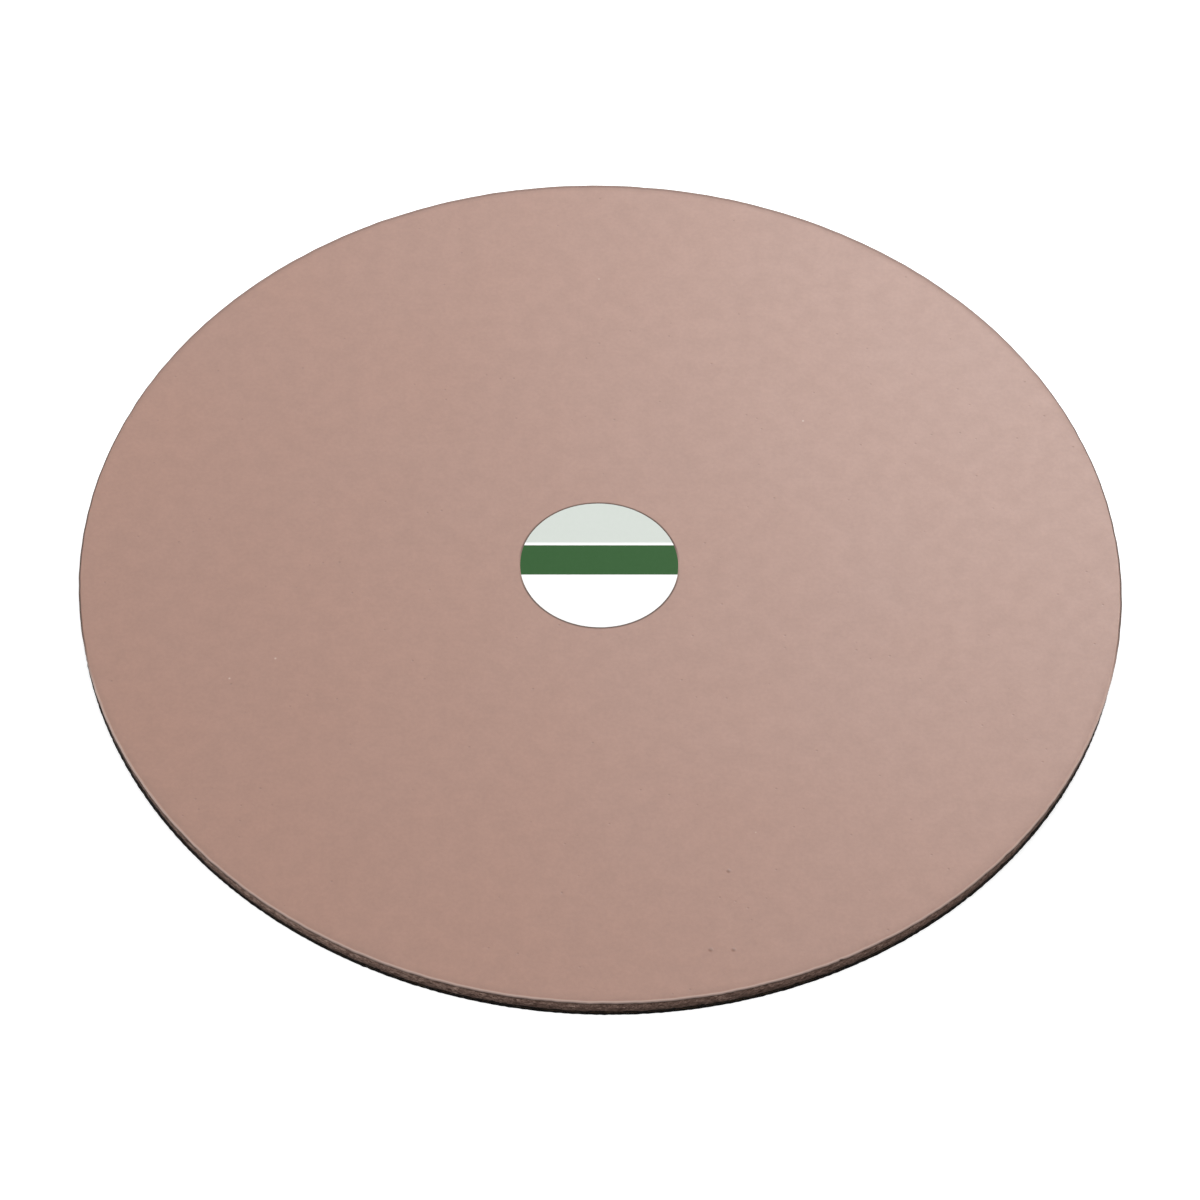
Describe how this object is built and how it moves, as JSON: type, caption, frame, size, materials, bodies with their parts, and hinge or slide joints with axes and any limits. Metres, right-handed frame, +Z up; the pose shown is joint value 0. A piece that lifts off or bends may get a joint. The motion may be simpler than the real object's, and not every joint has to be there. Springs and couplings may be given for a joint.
{
  "type": "plant mat",
  "caption": "Round cork mat faced with waterproof film on both sides, laid under a potted plant to keep moisture and scratches off a floor or shelf.",
  "frame": {"origin": "centre of the underside, on the floor", "axes": "+Z up through the middle of the mat, +X along the bands printed on the label, +Y towards the top of the label"},
  "size_m": [0.3555, 0.3556, 0.0076],
  "materials": {
    "top_film": "pinkish-brown waterproof film with a fine pressed grain and a soft sheen",
    "adhesive": "clear amber hot-melt layer",
    "cork": "pressed cork granules, cut edge",
    "bottom_film": "dark matt film with a fine pressed grain",
    "label": "satin paper with plain printed bands"
  },
  "bodies": {
    "root": {"top_film": "top_film", "upper_adhesive": "adhesive", "cork_core": "cork", "lower_adhesive": "adhesive", "bottom_film": "bottom_film", "label": "label"}
  },
  "joints": []
}
